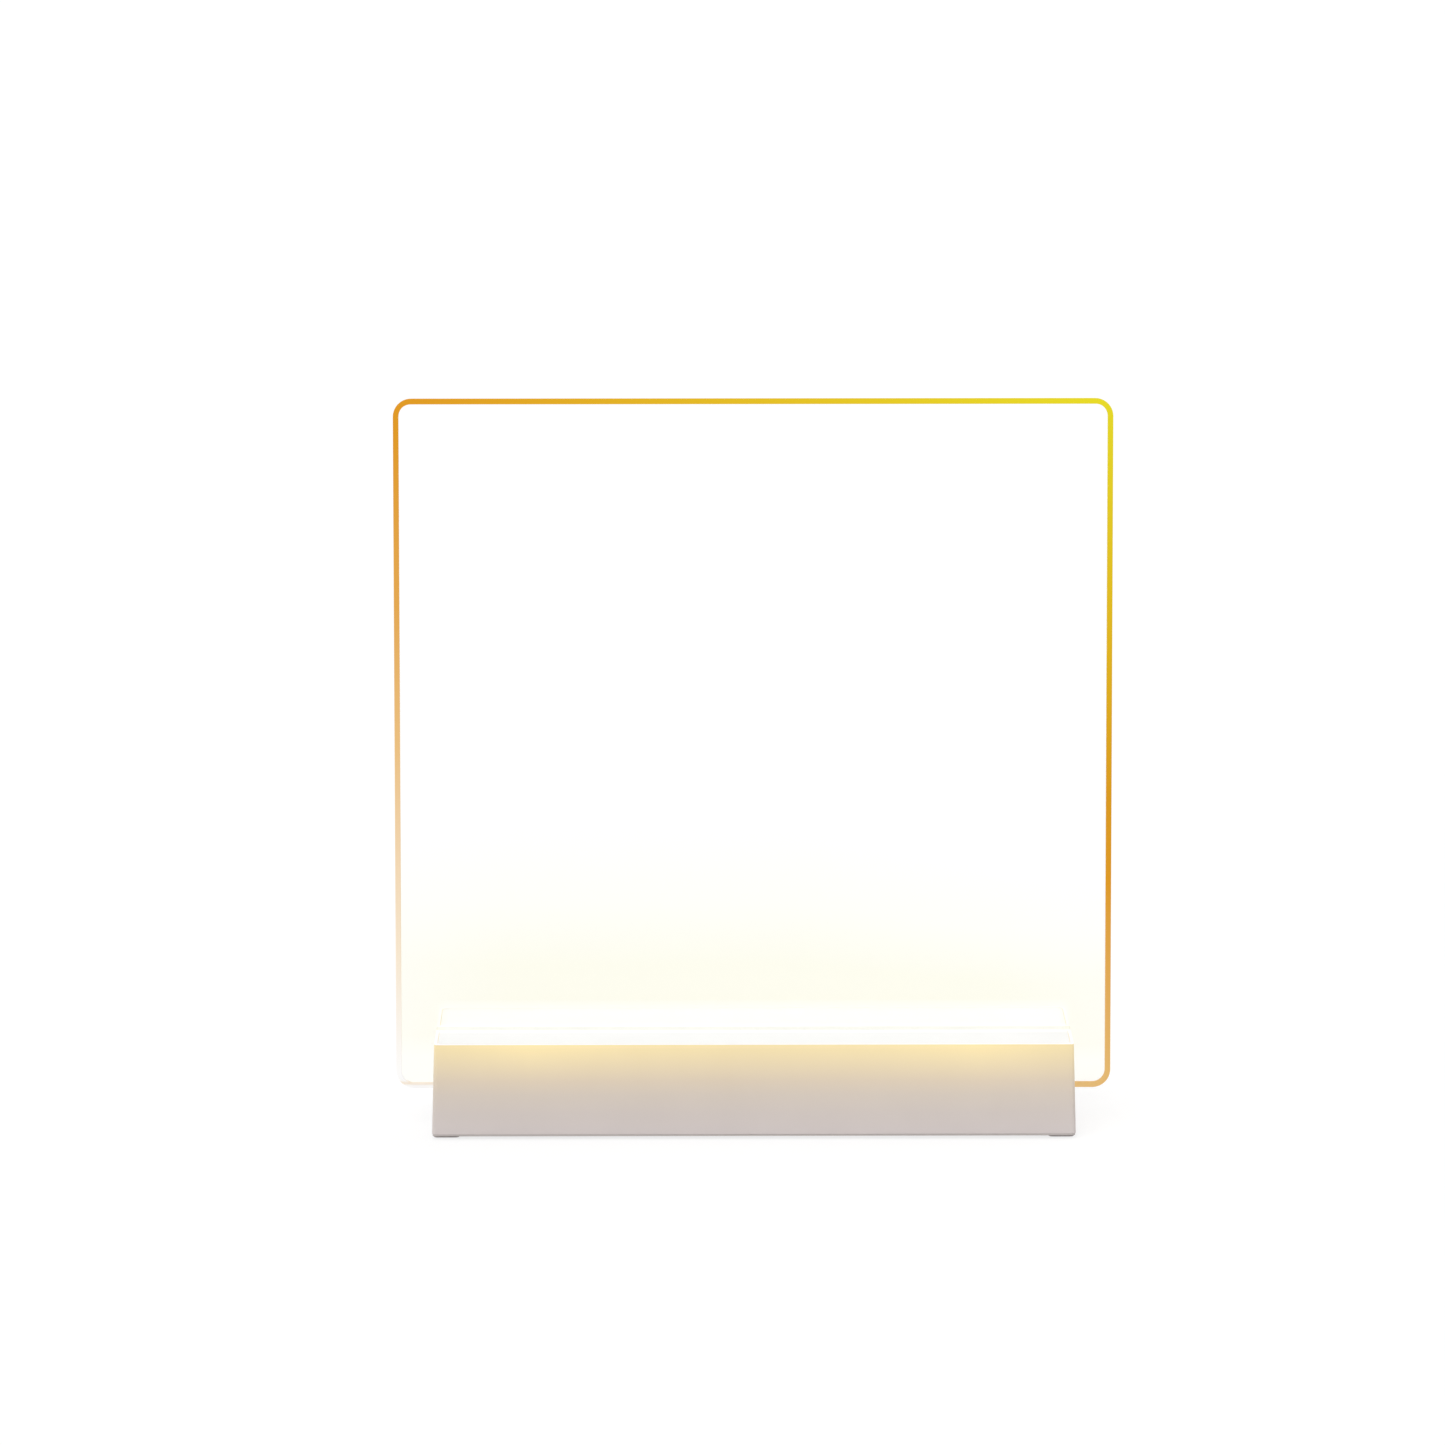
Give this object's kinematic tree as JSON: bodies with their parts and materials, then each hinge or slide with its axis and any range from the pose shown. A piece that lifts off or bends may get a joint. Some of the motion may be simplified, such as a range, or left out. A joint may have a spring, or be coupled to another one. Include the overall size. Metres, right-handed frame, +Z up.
{
  "type": "led writing board",
  "caption": "Clear bevelled acrylic writing panel that stands, leaning back, in the slot of a lit white base with a glowing top.",
  "frame": {"origin": "middle of the base's footprint, on the surface that it stands on", "axes": "+X along the board to the viewer's right, +Y away from the viewer, +Z up; the printed front face looks along -Y"},
  "size_m": [0.2, 0.045, 0.2021],
  "materials": {
    "clear_acrylic": "cast clear sheet, bevelled edges left satin and lit by the strip",
    "white_abs": "fine moulded texture",
    "milky_polycarbonate": "translucent, glowing",
    "clear_silicone": "soft, satin",
    "grey_abs": "moulded texture",
    "zinc_screw": "zinc plated",
    "foot_rubber": "matt",
    "white_board": "white solder mask",
    "led_plastic": "moulded white",
    "led_phosphor": "yellow phosphor in clear silicone, lit",
    "chip_resistor": "black glaze, tinned ends",
    "cell_sleeve": "plain blue shrink sleeve over a metal can",
    "nickel_strip": "nickel, spot welded",
    "black_foam": "closed cell foam",
    "green_board": "green solder mask",
    "stamped_steel": "stamped, plated",
    "black_moulding": "glass filled",
    "button_plastic": "fine texture",
    "plunger_plastic": "moulded",
    "clear_light_pipe": "clear",
    "chip_epoxy": "moulded epoxy",
    "tinned_lead": "tinned",
    "ferrite": "pressed ferrite",
    "capacitor_ceramic": "tan ceramic, tinned ends",
    "nylon_connector": "natural nylon",
    "red_insulation": "silicone insulation",
    "black_insulation": "silicone insulation"
  },
  "bodies": {
    "base": {"housing_shell": "white_abs", "top_diffuser": "milky_polycarbonate", "slot_pads": "clear_silicone", "bottom_cover": "grey_abs", "cover_screws": "zinc_screw", "rubber_feet": "foot_rubber", "led_board": "white_board", "led_packages": "led_plastic", "led_phosphor": "led_phosphor", "strip_resistors": "chip_resistor", "battery_cell": "cell_sleeve", "battery_tabs": "nickel_strip", "battery_foam": "black_foam", "control_board": "green_board", "board_screws": "zinc_screw", "usb_c_shell": "stamped_steel", "usb_c_tongue": "black_moulding", "switch_body": "black_moulding", "status_led": "led_plastic", "light_pipe": "clear_light_pipe", "board_chips": "chip_epoxy", "chip_leads": "tinned_lead", "power_inductor": "ferrite", "board_capacitors": "capacitor_ceramic", "battery_socket": "nylon_connector", "battery_plug": "nylon_connector", "battery_wire_red": "red_insulation", "battery_wire_black": "black_insulation", "led_wire_red": "red_insulation", "led_wire_black": "black_insulation"},
    "panel": {"writing_panel": "clear_acrylic"},
    "button": {"mode_button": "button_plastic", "switch_plunger": "plunger_plastic"}
  },
  "joints": [
    {"name": "panel_lift", "type": "slide", "parent": "base", "child": "panel", "axis": [0, 0.1132, 0.9936], "range_m": [0, 0.03]},
    {"name": "mode_button_press", "type": "slide", "parent": "base", "child": "button", "axis": [0, -1, 0], "range_m": [0, 0.0003], "stiffness_N_per_m": 4000}
  ]
}
